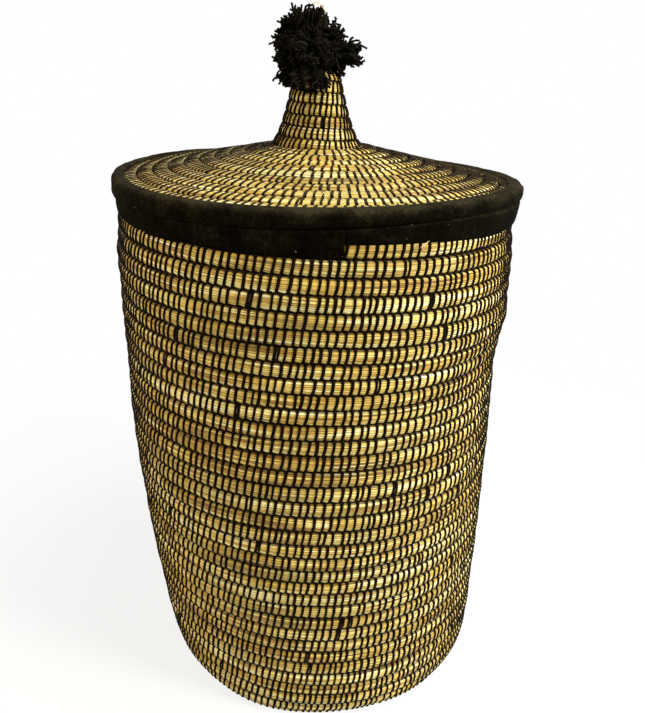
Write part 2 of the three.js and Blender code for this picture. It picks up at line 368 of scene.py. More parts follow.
def make_stitch_tree():
    nodes, given = new_tree("palm_stitches", {
        "Float": ("Depth", "Softness", "Row", "Facing", "Width", "Height", "Lean", "Flare", "Bend"),
        "Int": ("Segments", "Seed"),
    })
    flat = {"Size X": 1.0, "Size Y": 1.0, "Vertices X": 4, "Vertices Y": given["Segments"] + 1}
    strip = nodes.node("GeometryNodeMeshGrid", {}, flat)[0]
    x, y, _ = nodes.split(nodes.position())
    to_side, outwards = bundle_outline((0.5 - y) * math.pi, given["Softness"])
    to_edge = (x.math("ABSOLUTE") * 2).math("POWER", 0.3)
    raised = (1 - to_edge.math("POWER", 6) * 1.5) * given["Height"]
    flare = (y.math("ABSOLUTE") * 2).math("POWER", 3) * given["Flare"] + 1
    x = to_edge * x.math("SIGN") * flare * 0.5
    high = outwards * (given["Depth"] * 0.5 + raised)
    wide = to_side * (given["Row"] * 0.5 + raised * 0.3)
    bow = to_side.math("POWER", 2) * given["Bend"] * given["Facing"]
    strip = nodes.move(strip, nodes.vector(x * given["Width"] - bow, wide, high))
    out = nodes.read("out", VECTOR)
    settings = {"primary_axis": "Z", "secondary_axis": "Y"}
    axes = {"Primary Axis": out.scaled(given["Facing"]), "Secondary Axis": nodes.read("across", VECTOR)}
    rotation = nodes.node("FunctionNodeAxesToRotation", settings, axes)[0]
    leaning = nodes.chance(-STITCH_LEAN_SPREAD, STITCH_LEAN_SPREAD, given["Seed"] + 1)
    lean = given["Lean"] * given["Facing"] + leaning
    lean = nodes.node("FunctionNodeEulerToRotation", {}, {0: nodes.vector(0.0, 0.0, lean)})[0]
    settings = {"rotation_space": "LOCAL"}
    rotation = nodes.node("FunctionNodeRotateRotation", settings, {0: rotation, 1: lean})[0]
    width = nodes.chance(*STITCH_WIDTHS, given["Seed"] + 2)
    scale = nodes.vector(width, nodes.read("span") / given["Row"], 1.0)
    inputs = {"Points": given["Geometry"], "Instance": strip, "Rotation": rotation, "Scale": scale}
    sewn = nodes.node("GeometryNodeInstanceOnPoints", {}, inputs)[0]
    inwards = out.scaled(given["Depth"] * -0.5)
    inputs = {"Instances": sewn, "Translation": inwards, "Local Space": False}
    sewn = nodes.node("GeometryNodeTranslateInstances", {}, inputs)[0]
    sewn = nodes.node("GeometryNodeRealizeInstances", {}, {"Geometry": sewn})[0]
    return end_tree(nodes, sewn, given["Material"])


bundle_tree = make_bundle_tree()
stitch_tree = make_stitch_tree()


def on_circle(r, angle):
    return r * math.cos(angle), r * math.sin(angle)


scene = bpy.context.scene


def add_object(name, data):
    made = bpy.data.objects.new(name, data)
    scene.collection.objects.link(made)
    return made


def settle(name, mesh, tree, values):
    """One piece from a mesh and a tree with its values, as a plain mesh."""
    made = add_object(name, mesh)
    modifier = made.modifiers.new(name, "NODES")
    modifier.node_group = tree
    for item in tree.interface.items_tree:
        if item.name in values:
            modifier[item.identifier] = values[item.name]
    shown = made.evaluated_get(bpy.context.evaluated_depsgraph_get())
    plain = bpy.data.meshes.new_from_object(shown)
    made.modifiers.clear()
    made.data = plain
    return made


def outline_point(coil, along, angle):
    """A point of a coil's outline as radius and height, its outward direction and its sideways shift."""
    r, z, out_r, out_z, shift = coil["surface"](along)
    if "moved" in coil:
        out, up = coil["moved"](r, z, angle)
        r, z = r + out, z + up
    return np.array([r, z]), np.array([out_r, out_z]), shift


def stitch_turns(coil, rng):
    """The turns at which a coil is stitched, from its start to its end, a little unevenly."""
    turns = [coil.get("from", FIRST_STITCH)]
    last = (coil["high"] - coil["low"]) / coil["row"] + coil.get("run_out", RUN_OUT)
    while turns[-1] < last:
        (r, _), _, _ = outline_point(coil, min(coil["high"], coil["low"] + coil["row"] * turns[-1]), 0.0)
        around = 2 * math.pi * r / coil.get("spacing", STITCH_SPACING)
        spacing = coil.get("stitches") or max(LEAST_STITCHES, around)
        doubled = rng.random() < DOUBLE_STITCHES
        wide = DOUBLE_SPACING if doubled else rng.normal(STITCH_SPACING_MEAN, STITCH_SPACING_SPREAD)
        turns.append(turns[-1] + max(DOUBLE_SPACING, wide) / spacing)
    return [*turns[:-1], last]


def coil_line(name, coil, turns):
    """A line of points along a coil, one at each stitch, with what the trees read there. Its first and last
    rows taper, because no row goes past the coil's low and high edge."""
    points, outs, acrosses, spans, alongs = [], [], [], [], []
    along = 0.0
    for turn in turns:
        start = max(coil["low"], coil["low"] + coil["row"] * (turn - 1))
        end = min(coil["high"], coil["low"] + coil["row"] * turn)
        angle = math.radians(coil["start_angle"]) + coil["direction"] * 2 * math.pi * turn
        low_edge, _, _ = outline_point(coil, start, angle)
        high_edge, _, _ = outline_point(coil, end, angle)
        middle, outward, shift = outline_point(coil, (start + end) / 2, angle)
        chord = high_edge - low_edge
        span = max(np.linalg.norm(chord), LEAST_SPAN)
        chord = chord / span
        square = np.array([chord[1], -chord[0]])
        square = square * np.sign(square @ outward)
        where = Vector((*on_circle(UNEVEN_ROUND, angle), turn * UNEVEN_PER_TURN))
        reach = middle + square * coil["uneven"] * noise.noise(where)
        x, y = on_circle(reach[0], angle)
        points.append((shift + x, y, reach[1]))
        outs.append((*on_circle(square[0], angle), square[1]))
        acrosses.append((*on_circle(chord[0], angle), chord[1]))
        spans.append(span + ROW_PRESS)
        if len(points) > 1:
            along += math.dist(points[-1], points[-2])
        alongs.append(along)
    mesh = bpy.data.meshes.new(name)
    mesh.from_pydata(points, [(i, i + 1) for i in range(len(points) - 1)], [])
    stored = {"out": outs, "across": acrosses, "span": spans, "along": alongs, "turn": turns}
    for label, values in stored.items():
        values = np.array(values, np.float32)
        kind, field = (VECTOR, "vector") if values.ndim > 1 else ("FLOAT", "value")
        mesh.attributes.new(label, kind, "POINT").data.foreach_set(field, values.ravel())
    return mesh


def outward_faces(piece):
    """Turns a closed piece's faces outwards where its line ran the other way."""
    solid = bmesh.new()
    solid.from_mesh(piece.data)
    if solid.calc_volume(signed=True) < 0:
        piece.data.flip_normals()
    solid.free()


def wind(name, body, coil, seed, parts=1):
    """Winds a coil of grass and sews it: the grass, and the stitches on its outer and inner side."""
    turns = stitch_turns(coil, np.random.default_rng(seed))
    made = []
    cuts = [round(len(turns) * part / parts) for part in range(parts + 1)]
    for part in range(parts):
        label = f"{name}_{part + 1}" if parts > 1 else name
        line = coil_line(label, coil, turns[cuts[part]:cuts[part + 1] + 1])
        bundle = settle(f"{label}_grass", line.copy(), bundle_tree, {
            "Depth": coil["depth"],
            "Softness": coil["softness"],
            "Squeeze": SQUEEZE,
            "Between stitches": coil.get("between", 1),
            "Corners": CORNERS,
            "Material": grass,
        })
        outward_faces(bundle)
        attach(bundle, body)
        made.append(bundle)
        for side, facing, segments in (("outer", 1.0, 6), ("inner", -1.0, 4)):
            stitches = settle(f"{label}_stitches_{side}", line.copy(), stitch_tree, {
                "Depth": coil["depth"],
                "Softness": coil["softness"],
                "Row": coil["row"] + ROW_PRESS,
                "Facing": facing,
                "Width": coil.get("stitch_width", STITCH_WIDTH),
                "Height": coil.get("stitch_height", STITCH_HEIGHT),
                "Lean": STITCH_LEAN,
                "Flare": STITCH_FLARE,
                "Bend": STITCH_BEND,
                "Segments": segments,
                "Seed": seed,
                "Material": palm,
            })
            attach(stitches, body)
    return made


BASE_HOLE_R = 0.0025
BASE_EDGE_R = 0.1645
BASE_DEPTH = 0.0142
BASE_INTO_WALL = 0.003
BASE_UP = 0.0008
FOOT_SHIFT = 0.012

body_coil = {
    "start_angle": STEP_ANGLE - 90 + 360 * WALL_TURNS,
    "direction": -1,
    "row": ROW,
}
base_coil = {
    **body_coil,
    "low": BASE_HOLE_R,
    "high": BASE_EDGE_R + BASE_INTO_WALL,
    "from": 0.4,
    "depth": BASE_DEPTH,
    "softness": 0.6,
    "uneven": 0.0,
    "surface": lambda along: (along, BASE_UP, 0.0, -1.0, FOOT_SHIFT),
}
for piece in wind("base", "basket", base_coil, 1):
    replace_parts(piece, "base_coil")


# Wall
# The same coil goes on from the edge of the base up the wall, in rows that lean out, bow a little to the
# left and are not quite even. It ends in black cloth at the step in front.

WALL_LOW = 0.0154
WALL_TOP = WALL_LOW + WALL_TURNS * ROW
WALL_DEPTH = 0.0145
RIM_R = 0.1985
BELLY_SHIFT = -0.004
STITCHES_PER_TURN = 170
WALL_OUTLINE = [
    (-0.03, -0.0205),
    (0.0, -0.0142),
    (0.03, -0.0112),
    (0.09, -0.0078),
    (0.3, -0.0012),
    (0.55, 0.002),
    (0.79, 0.0035),
    (0.91, 0.004),
    (1.0, -0.0005),
]
ROWS_RISE = [
    (0.0, 0.0, 0.0, 0.0),
    (0.023, 0.0, -0.004, 0.0),
    (0.054, 0.0, -0.005, 0.0008),
    (0.085, -0.0005, -0.002, 0.0015),
    (0.17, -0.002, -0.0003, 0.001),
    (0.207, -0.0005, -0.0023, 0.0006),
    (0.245, -0.0018, -0.0027, -0.002),
    (0.333, -0.0004, 0.0038, -0.0032),
    (0.38, 0.001, 0.0032, -0.0055),
    (0.43, 0.001, 0.001, -0.0078),
    (0.51, 0.0038, -0.0003, -0.0056),
    (0.53, 0.001, -0.0006, -0.003),
]
SIDES_OUT = [
    (0.21, 0.0, 0.0),
    (0.27, 0.0018, 0.0),
    (0.31, 0.0018, -0.0006),
    (0.345, 0.0, -0.0018),
    (0.365, 0.0, -0.003),
    (0.385, 0.0, -0.0028),
    (0.405, 0.0, 0.0),
    (0.42, 0.0, 0.003),
    (0.435, 0.0, 0.0042),
    (0.452, 0.0, 0.001),
    (0.5, 0.0, 0.0008),
    (0.53, 0.0, 0.0),
]
FOOT_BULGE = 0.005
FOOT_BULGE_ANGLE = -113
FOOT_BULGE_WIDTH = 18
FOOT_BULGE_TOP = 0.045


def wall_radius(up):
    """The wall's radius at a share of its height, on the smooth curve through its outline."""
    above = max(1, next(i for i, (share, _) in enumerate(WALL_OUTLINE) if share >= min(up, 1.0)))
    knots = [WALL_OUTLINE[min(max(above + i, 0), len(WALL_OUTLINE) - 1)] for i in (-2, -1, 0, 1)]
    share = (up - knots[1][0]) / (knots[2][0] - knots[1][0])
    before, low, high, after = [out for _, out in knots]
    slope_low = (high - before) / 2
    slope_high = (after - low) / 2
    cubic = 2 * low - 2 * high + slope_low + slope_high
    square = 3 * high - 3 * low - 2 * slope_low - slope_high
    return RIM_R + ((cubic * share + square) * share + slope_low) * share + low


def wall_surface(height):
    up = (height - WALL_LOW) / (WALL_TOP - WALL_LOW)
    shift = FOOT_SHIFT * (1 - up) ** 2 + BELLY_SHIFT * math.sin(math.pi * up)
    return wall_radius(up), height, 1.0, 0.0, shift


def rows_moved(r, height, angle):
    """How far a row lies out from its even place and above it, by its height. SIDES_OUT has the first at the
    left and at the right, and the foot bulges in front. ROWS_RISE has the second: what the left adds, the
    rise all round, and what the right adds."""
    to_right = math.cos(angle)
    rise_heights, rise_left, rise, rise_right = zip(*ROWS_RISE)
    side = np.interp(height, rise_heights, rise_right if to_right > 0 else rise_left)
    out_heights, out_left, out_right = zip(*SIDES_OUT)
    out = np.interp(height, out_heights, out_right if to_right > 0 else out_left) * to_right ** 2
    from_bulge = (math.degrees(angle) - FOOT_BULGE_ANGLE + 180) % 360 - 180
    beside_bulge = math.exp(-((from_bulge / FOOT_BULGE_WIDTH) ** 2))
    bulge = FOOT_BULGE * beside_bulge * max(0.0, 1 - height / FOOT_BULGE_TOP)
    return out + bulge, np.interp(height, rise_heights, rise) + abs(to_right) * side


wall_coil = {
    **body_coil,
    "low": WALL_LOW - ROW,
    "high": WALL_TOP,
    "moved": rows_moved,
    "run_out": 0.4,
    "depth": WALL_DEPTH,
    "softness": 0.66,
    "uneven": 0.0011,
    "stitches": STITCHES_PER_TURN,
    "surface": wall_surface,
}
for piece in wind("wall", "basket", wall_coil, 2, parts=2):
    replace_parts(piece, "wall_coil")


# Rim of the body
# Black cotton cloth wound round a hoop of grass and round the coil's last turn, which starts at the step.
# Its lower edge laps over the top row and rises towards the step from the right.

CLEARANCE = 0.0004
RIM_BOTTOM = WALL_TOP + CLEARANCE
RIM_TOP = 0.5408
RIM_DEPTH = 0.016
RIM_ROUND = 0.0035
RIM_UNDER_TAIL = 0.0008
RIM_SWELL = 0.0042
RIM_SWELL_TO_RIGHT = 0.0013
RIM_FOLDS = 0.0007
LID_SAG = 0.0075
LID_SAG_ANGLE = math.radians(45)
LID_DROOP = 0.0066
LID_DROOP_ANGLE = math.radians(212)
BAND_STEPS = 480
CORNER_STEPS = 5
FOLDS_ROUND = 9
FOLDS_SLANT = 60
FOLDS_UP = 90
FOLDS_OUT = 40
CLOTH_PROUD = 0.0012
CLOTH_GAP = 0.0002
TAIL_STEPS = 18
TAIL_FOLDS = 0.0006
TAIL_HIGH_EDGE = 0.5165
TAIL_TUCK = 0.0034
TAIL_HIGH_TUCK = 0.0010
TAIL_HEM_UP = 0.005
TAIL_HEM_OUT = 0.002
CLOTH_START = STEP_ANGLE - 0.9
CLOTH_EDGE = [
    (6.6, 0.5254),
    (28, 0.5235),
    (45, 0.5195),
    (55, 0.5175),
    (75, 0.5115),
    (180, 0.5115),
    (270, 0.5140),
    (285, 0.5158),
    (323, 0.5168),
    (340, 0.5146),
    (352, 0.514),
    (366.6, 0.5128),
]
CLOTH_TONES = [
    (0.0, (0.0010, 0.0009, 0.0004)),
    (0.35, (0.0028, 0.0025, 0.0012)),
    (0.7, (0.011, 0.0094, 0.0048)),
    (1.0, (0.027, 0.0225, 0.0118)),
]
LINT = (0.35, 0.33, 0.28)


# The level given lightens a whole copy of the same cloth: painted light, less of it on the body's shaded
# rim.
def make_cloth(name, painted_light_level):
    made, nodes = new_material(name)
    place = nodes.place()
    worn = nodes.noise(place, 42, 6)
    creases = nodes.noise(place, 160, 3)
    grain = nodes.noise(place, 430, 1)
    threads = nodes.noise(place, 1900, 1)
    # Painted light: the cloth is coloured lighter where it faces up, as lit from above.
    painted_top_light = ((nodes.upward() + 0.3) * 0.8).clamped() * 0.62 + painted_light_level
    tone = painted_top_light + (worn - 0.5) * 1.2 + (creases - 0.5) * 0.6 + (grain - 0.5) * 0.6 + (threads - 0.5) * 0.3
    cells = nodes.node("ShaderNodeTexVoronoi", {}, {"Vector": place, "Scale": 90.0})
    rare = nodes.node("ShaderNodeSeparateColor", {}, {0: cells[1]})[0]
    fleck = (1.6 - cells[0] * 24).clamped() * ((rare - 0.55) * 40).clamped() * 0.6
    finish_material(nodes, {
        "Base Color": nodes.blend(fleck, nodes.ramp(CLOTH_TONES, tone), (*LINT, 1)),
        "Roughness": 0.9,
        "Specular IOR Level": 0.02,
        "Specular Tint": DARK_SHEEN,
        "Normal": nodes.bump(0.7, 0.001, threads * 0.5 + worn * 3 + creases * 2),
    })
    return made


# The body's rim and tail take the darker copy of the cloth: painted shade under the lid's overhang.
cloth = make_cloth("black_cloth", 0.12)


def rounded_section(inner, outer, low, high, radius, inner_radius):
    """A section with round corners, anticlockwise from its inner lower corner."""
    section = []
    for r, z, first in ((inner, low, 180), (outer, low, 270), (outer, high, 0), (inner, high, 90)):
        bend = inner_radius if r == inner else radius
        centre_r = r + bend * (1 if r == inner else -1)
        centre_z = z + bend * (1 if z == low else -1)
        for step in range(CORNER_STEPS + 1):
            out, up = on_circle(bend, math.radians(first + 90 * step / CORNER_STEPS))
            section.append((centre_r + out, centre_z + up))
    return section


def lid_sag(share, angle):
    """How far the top of the basket sags towards the back on the right."""
    return LID_SAG * share * max(0.0, math.cos(angle - LID_SAG_ANGLE))


def lid_droop(angle):
    """How far the lower edge of the lid's roll hangs down on the left."""
    return LID_DROOP * max(0.0, math.cos(angle - LID_DROOP_ANGLE)) ** 1.5


def rim_swell(angle):
    """How far the body's rim bulges out at its sides."""
    return RIM_SWELL * math.cos(angle) ** 2 + RIM_SWELL_TO_RIGHT * math.cos(angle)


def add_mesh(name, points, faces, material):
    """A smooth piece from its points and faces."""
    mesh = bpy.data.meshes.new(name)
    mesh.from_pydata(points, [], faces)
    mesh.shade_smooth()
    mesh.materials.append(material)
    return add_object(name, mesh)


def ring_faces(rings, count, first=0, joined=False):
    """The faces between rings of points, numbered ring by ring from the first."""
    faces = []
    for ring in range(rings if joined else rings - 1):
        low, high = first + ring * count, first + (ring + 1) % rings * count
        for step in range(count):
            beside = (step + 1) % count
            faces.append((low + step, low + beside, high + beside, high + step))
    return faces


def end_faces(rings, count):
    """The two faces that close a tube of rings."""
    return [tuple(reversed(range(count))), tuple(range((rings - 1) * count, rings * count))]


def wrapped_ring(name, section_at, folds, material, shift=0.0, open_at=None):
    """A ring of cloth. section_at gives its section at an angle. Where open_at is given, in degrees right of
    the front, its two ends meet there without being joined."""
    steps = BAND_STEPS if open_at is None else BAND_STEPS + 1
    points = []
    for step in range(steps):
        angle = math.radians((open_at or 0) + 360 * step / BAND_STEPS - 90)
        fold_x, fold_y = on_circle(FOLDS_ROUND, angle)
        section = section_at(angle)
        for r, z in section:
            slant = FOLDS_SLANT * z
            place = Vector((fold_x + slant, fold_y - slant, z * FOLDS_UP + r * FOLDS_OUT))
            fold = folds * (noise.noise(place) + 0.5 * noise.noise(place * 3.1))
            x, y = on_circle(r + fold, angle)
            points.append((shift + x, y, z + fold * 0.3))
    faces = ring_faces(steps, len(section), joined=open_at is None)
    if open_at is not None:
        faces += end_faces(steps, len(section))
    made = add_mesh(name, points, faces, material)
    outward_faces(made)
    return made


def rim_section(angle):
    sag = lid_sag(1, angle)
    low, high = RIM_BOTTOM - sag, RIM_TOP - RIM_UNDER_TAIL - sag - lid_droop(angle)
    return rounded_section(RIM_R - RIM_DEPTH, RIM_R + rim_swell(angle), low, high, RIM_ROUND, RIM_ROUND)


rim_cloth = wrapped_ring("rim_cloth", rim_section, RIM_FOLDS, cloth)
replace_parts(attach(rim_cloth, "basket"), "rim_core", "rim_wrap")


def tail_section(angle):
    edge = np.interp(math.degrees(angle) + 90, *zip(*CLOTH_EDGE))
    top = RIM_TOP - CLOTH_GAP - lid_sag(1, angle) - lid_droop(angle)
    tuck = TAIL_TUCK if edge < TAIL_HIGH_EDGE else TAIL_HIGH_TUCK
    section = []
    for step in range(TAIL_STEPS + 1):
        share = math.sin(math.pi / 2 * (step / TAIL_STEPS) ** 1.3)
        height = edge + (top - edge) * share
        radius = wall_radius(min(1.0, (height - WALL_LOW) / (WALL_TOP - WALL_LOW)))
        tucked = tuck * (1 - share) ** 5
        round_top = RIM_ROUND * (1 - math.sqrt(1 - max(0.0, 1 - (top - height) / RIM_ROUND) ** 2))
        section.append((radius + CLOTH_PROUD - tucked - round_top + rim_swell(angle) * share ** 0.6, height))
    inner = RIM_R - RIM_DEPTH + CLOTH_GAP
    section += [(inner + RIM_ROUND, top), (inner, top - RIM_ROUND)]
    return [*section, (inner, edge + TAIL_HEM_UP), (inner + TAIL_HEM_OUT, edge)]


rim_tail_cloth = wrapped_ring("rim_tail_cloth", tail_section, TAIL_FOLDS, cloth, open_at=CLOTH_START)
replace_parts(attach(rim_tail_cloth, "basket"), "rim_tail")


# Lid
# A second coil of the same dry grass, wound from the top of the finial down over the shallow cone of the
# crown, and sewn row to row with the same strips. The lid is loose and lifts straight off.

LID_R = 0.205
LID_DIPS = [
    (100, 0.0),
    (150, -0.0012),
    (180, -0.0006),
    (215, 0.0018),
    (250, 0.0023),
    (290, 0.0015),
    (330, 0.0003),
    (360, 0.0),
]
LID_SPREAD = 0.004
CROWN_ROW = 0.01535
CROWN_DEPTH = 0.0125
CROWN_SLOPE = math.radians(10.6)
LID_RIM_HEIGHT = 0.0146
LID_BOTTOM = RIM_TOP + CLEARANCE
LID_TOP = LID_BOTTOM + LID_RIM_HEIGHT
LID_RIM_DEPTH = 0.0164
CROWN_INNER_R = 0.0446
CROWN_OUTER_R = LID_R - LID_RIM_DEPTH - CLEARANCE
CROWN_LENGTH = (CROWN_OUTER_R - CROWN_INNER_R) / math.cos(CROWN_SLOPE)
CROWN_INTO_RIM = 0.004
CROWN_BELOW_ROLL = 0.0016
CROWN_TOP = LID_TOP - CROWN_BELOW_ROLL + CROWN_LENGTH * math.sin(CROWN_SLOPE)
FINIAL_SHIFT = -0.0014

lid_coil = {"start_angle": STEP_ANGLE - 90, "direction": 1}


def lid_dip(angle):
    """How far the top of the lid's roll lies lower than even."""
    return np.interp(math.degrees(angle) % 360, *zip(*LID_DIPS))


def crown_moved(r, height, angle):
    """How far the lid's coil lies out from its even place and above it."""
    share = (r - CROWN_INNER_R) / (LID_R - CROWN_INNER_R)
    out = LID_SPREAD * share * max(0.0, -math.cos(angle))
    return out, -lid_sag(share, angle) - lid_dip(angle) * share ** 2


def crown_surface(along):
    r = CROWN_INNER_R + along * math.cos(CROWN_SLOPE)
    z = CROWN_TOP - along * math.sin(CROWN_SLOPE)
    shift = FINIAL_SHIFT * (1 - along / CROWN_LENGTH)
    return r, z, math.sin(CROWN_SLOPE), math.cos(CROWN_SLOPE), shift


crown_coil = {
    **lid_coil,
    "row": CROWN_ROW,
    "low": 0.0,
    "high": CROWN_LENGTH + CROWN_INTO_RIM,
    "depth": CROWN_DEPTH,
    "softness": 0.5,
    "uneven": 0.0009,
    "stitch_width": 0.0024,
    "stitch_height": 0.0005,
    "spacing": 0.0076,
    "surface": crown_surface,
    "moved": crown_moved,
}
for piece in wind("crown", "lid", crown_coil, 3):
    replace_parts(piece, "crown_coil")


# Lip of the lid
# A short coil of the same grass, sewn with the same strips. It hangs under the crown, inside the body's
# rim, and keeps the lid on the body.

LIP_CLEARANCE = 0.004
LIP_R = RIM_R - RIM_DEPTH - LIP_CLEARANCE
LIP_HEIGHT = 0.027
LIP_DEPTH = 0.012
LIP_DROP = (LIP_R - CROWN_INNER_R) * math.tan(CROWN_SLOPE)
LIP_TOP = CROWN_TOP - LIP_DROP - CROWN_DEPTH / math.cos(CROWN_SLOPE) - CLEARANCE

lip_coil = {
    **lid_coil,
    "direction": -1,
    "row": ROW,
    "low": LIP_TOP - LIP_HEIGHT,
    "high": LIP_TOP,
    "depth": LIP_DEPTH,
    "softness": 0.66,
    "uneven": 0.0004,
    "surface": lambda height: (LIP_R, height, 1.0, 0.0, 0.0),
    "moved": crown_moved,
}
for piece in wind("lip", "lid", lip_coil, 4):
    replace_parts(piece, "lip_coil")


# Rim of the lid
# A fuller roll of the same black cotton cloth, wound round a hoop of grass at the lid's edge, in a copy of
# the cloth painted lighter for the light from above. It overhangs the body's rim and rests on it.

LID_ROUND = 0.006
LID_INNER_ROUND = 0.0028
LID_SHIFT = 0.001
LID_FOLDS = 0.0011

# The lid's roll takes a lighter copy of the same cloth: painted light from above.
lit_cloth = make_cloth("lit_black_cloth", 0.24)


def lid_rim_section(angle):
    droop = lid_droop(angle)
    sag = lid_sag(1, angle)
    low, high = LID_BOTTOM - sag - droop, LID_TOP - sag - lid_dip(angle)
    inner = LID_R - LID_RIM_DEPTH + LID_SPREAD * max(0.0, -math.cos(angle))
    return rounded_section(inner, LID_R, low, high, LID_ROUND, LID_INNER_ROUND)


lid_rim_cloth = wrapped_ring("lid_rim_cloth", lid_rim_section, LID_FOLDS, lit_cloth, LID_SHIFT)
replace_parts(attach(lid_rim_cloth, "lid"), "lid_rim_core", "lid_rim_wrap")


# Finial
# The lid's coil of grass starts here with a thinner bundle, wound and sewn into a small hollow tower with a
# hole in its top. Its foot goes on into the crown.

FINIAL_ROW = 0.0112
FINIAL_DEPTH = 0.009
FINIAL_HEIGHT = 0.068
FINIAL_HOLE_R = 0.0036
FINIAL_TOP_R = 0.024
FINIAL_FOOT_R = 0.0445
FINIAL_SHOULDER_R = 0.012
FINIAL_NECK = (0.028, 0.042)
FINIAL_FLARE = (0.034, 0.014)
FINIAL_INTO_CROWN = 0.005
FINIAL_TOP = CROWN_TOP + FINIAL_HEIGHT
SHOULDER_STEPS = 24
SIDE_STEPS = 60
SLOPE_STEP = 0.0004


def finial_outline():
    """Points of the outline, as radius and height, from the middle of the top down to the foot."""
    corner = np.array([FINIAL_TOP_R - FINIAL_SHOULDER_R, FINIAL_HEIGHT - FINIAL_SHOULDER_R])
    points = [np.array([0.0, FINIAL_HEIGHT])]
    for angle in np.linspace(math.pi / 2, 0, SHOULDER_STEPS):
        points.append(corner + np.array(on_circle(FINIAL_SHOULDER_R, angle)))
    handles = [points[-1], *map(np.array, (FINIAL_NECK, FINIAL_FLARE, (FINIAL_FOOT_R, 0.0)))]
    for share in np.linspace(0, 1, SIDE_STEPS)[1:]:
        rest = 1 - share
        weights = (rest ** 3, 3 * rest ** 2 * share, 3 * rest * share ** 2, share ** 3)
        points.append(sum(weight * handle for weight, handle in zip(weights, handles)))
    downwards = handles[3] - handles[2]
    points.append(handles[3] + downwards / np.linalg.norm(downwards) * FINIAL_INTO_CROWN)
    return np.array(points)


finial_points = finial_outline()
finial_lengths = np.concatenate([[0.0], np.cumsum(np.linalg.norm(np.diff(finial_points, axis=0), axis=1))])


def finial_point(along):
    return np.array([np.interp(along, finial_lengths, values) for values in finial_points.T])


def finial_surface(along):
    r, z = finial_point(along)
    forward = finial_point(along + SLOPE_STEP) - finial_point(along - SLOPE_STEP)
    forward = forward / np.linalg.norm(forward)
    return r, CROWN_TOP + z, -forward[1], forward[0], FINIAL_SHIFT


finial_coil = {
    **lid_coil,
    "row": FINIAL_ROW,
    "low": FINIAL_HOLE_R,
    "high": finial_lengths[-1],
    "from": 0.3,
    "run_out": 0.75,
    "depth": FINIAL_DEPTH,
    "softness": 0.5,
    "uneven": 0.0006,
    "between": 3,
    "stitch_width": 0.0022,
    "stitch_height": 0.0011,
    "spacing": 0.0058,
    "surface": finial_surface,
}
for piece in wind("finial", "lid", finial_coil, 5):
    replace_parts(piece, "finial_coil")


# Pom-pom
# Strips of black yarn tied round their middle on a cord, which goes through the hole in the finial and is
# knotted inside it. Their cut ends stand out as a rough ball that lolls over to the right.

YARN_BALLS = [
    (Vector((-0.0082, 0.0, 0.0206)), 0.0343),
    (Vector((0.0326, -0.0021, 0.0097)), 0.0133),
    (Vector((-0.0227, -0.0039, 0.0009)), 0.0164),
    (Vector((-0.0115, -0.0165, -0.0010)), 0.0200),
]
YARN = {
    "Per area": 105000.0,
    "Points": 16,
    "Radius": 0.0012,
    "Tufts": 85.0,
    "Tufts at": (0.9794, 0.3976, 1.1149),
    "Gather": 0.6,
    "Clump": 0.010,
    "Hook": 0.006,
    "Curl": 0.0022,
    "Curls": 1.8,
    "Droop": 0.008,
    "Seed": 8,
}
YARN_ROOT = 0.016
YARN_LOWEST = -0.013
YARN_LEAST_LENGTH = 0.80
YARN_LOCK_LENGTH = 0.16
YARN_OWN_LENGTH = 0.08
YARN_WISPS_FROM = 0.985
YARN_WISP_LENGTH = 0.12
YARN_SWIRLS = 70.0
YARN_SINK_HEIGHT = 0.02
YARN_SINK_BACK = 0.02
YARN_SINK_RIGHT = 0.013
YARN_SINK_FADE = 0.01
YARN_LIFT = 0.7
YARN_THIN_END = 0.65
BALLS_OVERLAP = 0.98
BALLS_ABOVE_TOP = 0.002
HALVES = (0.5, 0.5, 0.5)
CORD_R = 0.0016
CORD_IN_POMPOM = 0.014
CORD_TOP = FINIAL_TOP + CORD_IN_POMPOM
KNOT_R = 0.0065
KNOT_Z = FINIAL_TOP - FINIAL_DEPTH - CLEARANCE - KNOT_R
KNOT_STEPS = 14
KNOT_RIDGE = 0.05
KNOT_RIDGES = 2.6
TIE_SIDES = 24
YARN_TONES = [(0.2, (0.0016, 0.0014, 0.0010)), (0.8, (0.0125, 0.0115, 0.0082))]


def make_yarn():
    made, nodes = new_material("black_yarn")
    place = nodes.place()
    tone = nodes.noise(place, 140) * 0.6 + nodes.noise(place, 2400) * 0.4
    finish_material(nodes, {
        "Base Color": nodes.ramp(YARN_TONES, tone),
        "Roughness": 0.9,
        "Specular IOR Level": 0.04,
        "Specular Tint": DARK_SHEEN,
        "Normal": nodes.bump(0.6, 0.0006, tone),
    })
    return made


